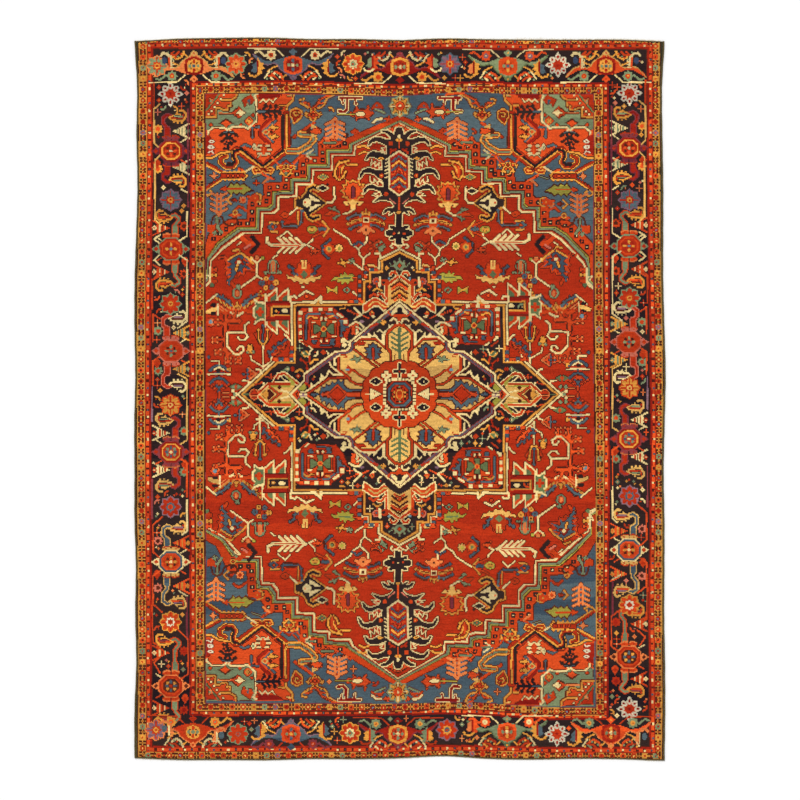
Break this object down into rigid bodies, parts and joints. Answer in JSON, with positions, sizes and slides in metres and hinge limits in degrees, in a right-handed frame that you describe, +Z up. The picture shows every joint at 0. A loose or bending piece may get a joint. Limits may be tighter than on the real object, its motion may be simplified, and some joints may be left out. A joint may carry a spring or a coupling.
{
  "type": "persian rug",
  "caption": "Room-size hand-knotted wool rug, lying flat, with overcast sides and ends and short cut warp ends.",
  "frame": {"origin": "on the floor under the middle of the rug", "axes": "+Z up out of the pile, +Y along the warps towards the end at the top of the picture, +X across the rug to the right"},
  "size_m": [2.6606, 3.6334, 0.0095],
  "materials": {
    "pile": "worn hand-knotted wool pile, brick red field with navy, blue, gold, ivory and green figures",
    "overcast_wool": "dark olive-brown wool wrapped round the edge cords",
    "cotton_warp": "undyed cotton warp ends, cut short and frayed"
  },
  "bodies": {
    "root": {"rug_body": "pile", "selvedge_left": "overcast_wool", "selvedge_right": "overcast_wool", "end_cord_top": "overcast_wool", "end_cord_bottom": "overcast_wool", "fringe_top": "cotton_warp", "fringe_bottom": "cotton_warp"}
  },
  "joints": []
}
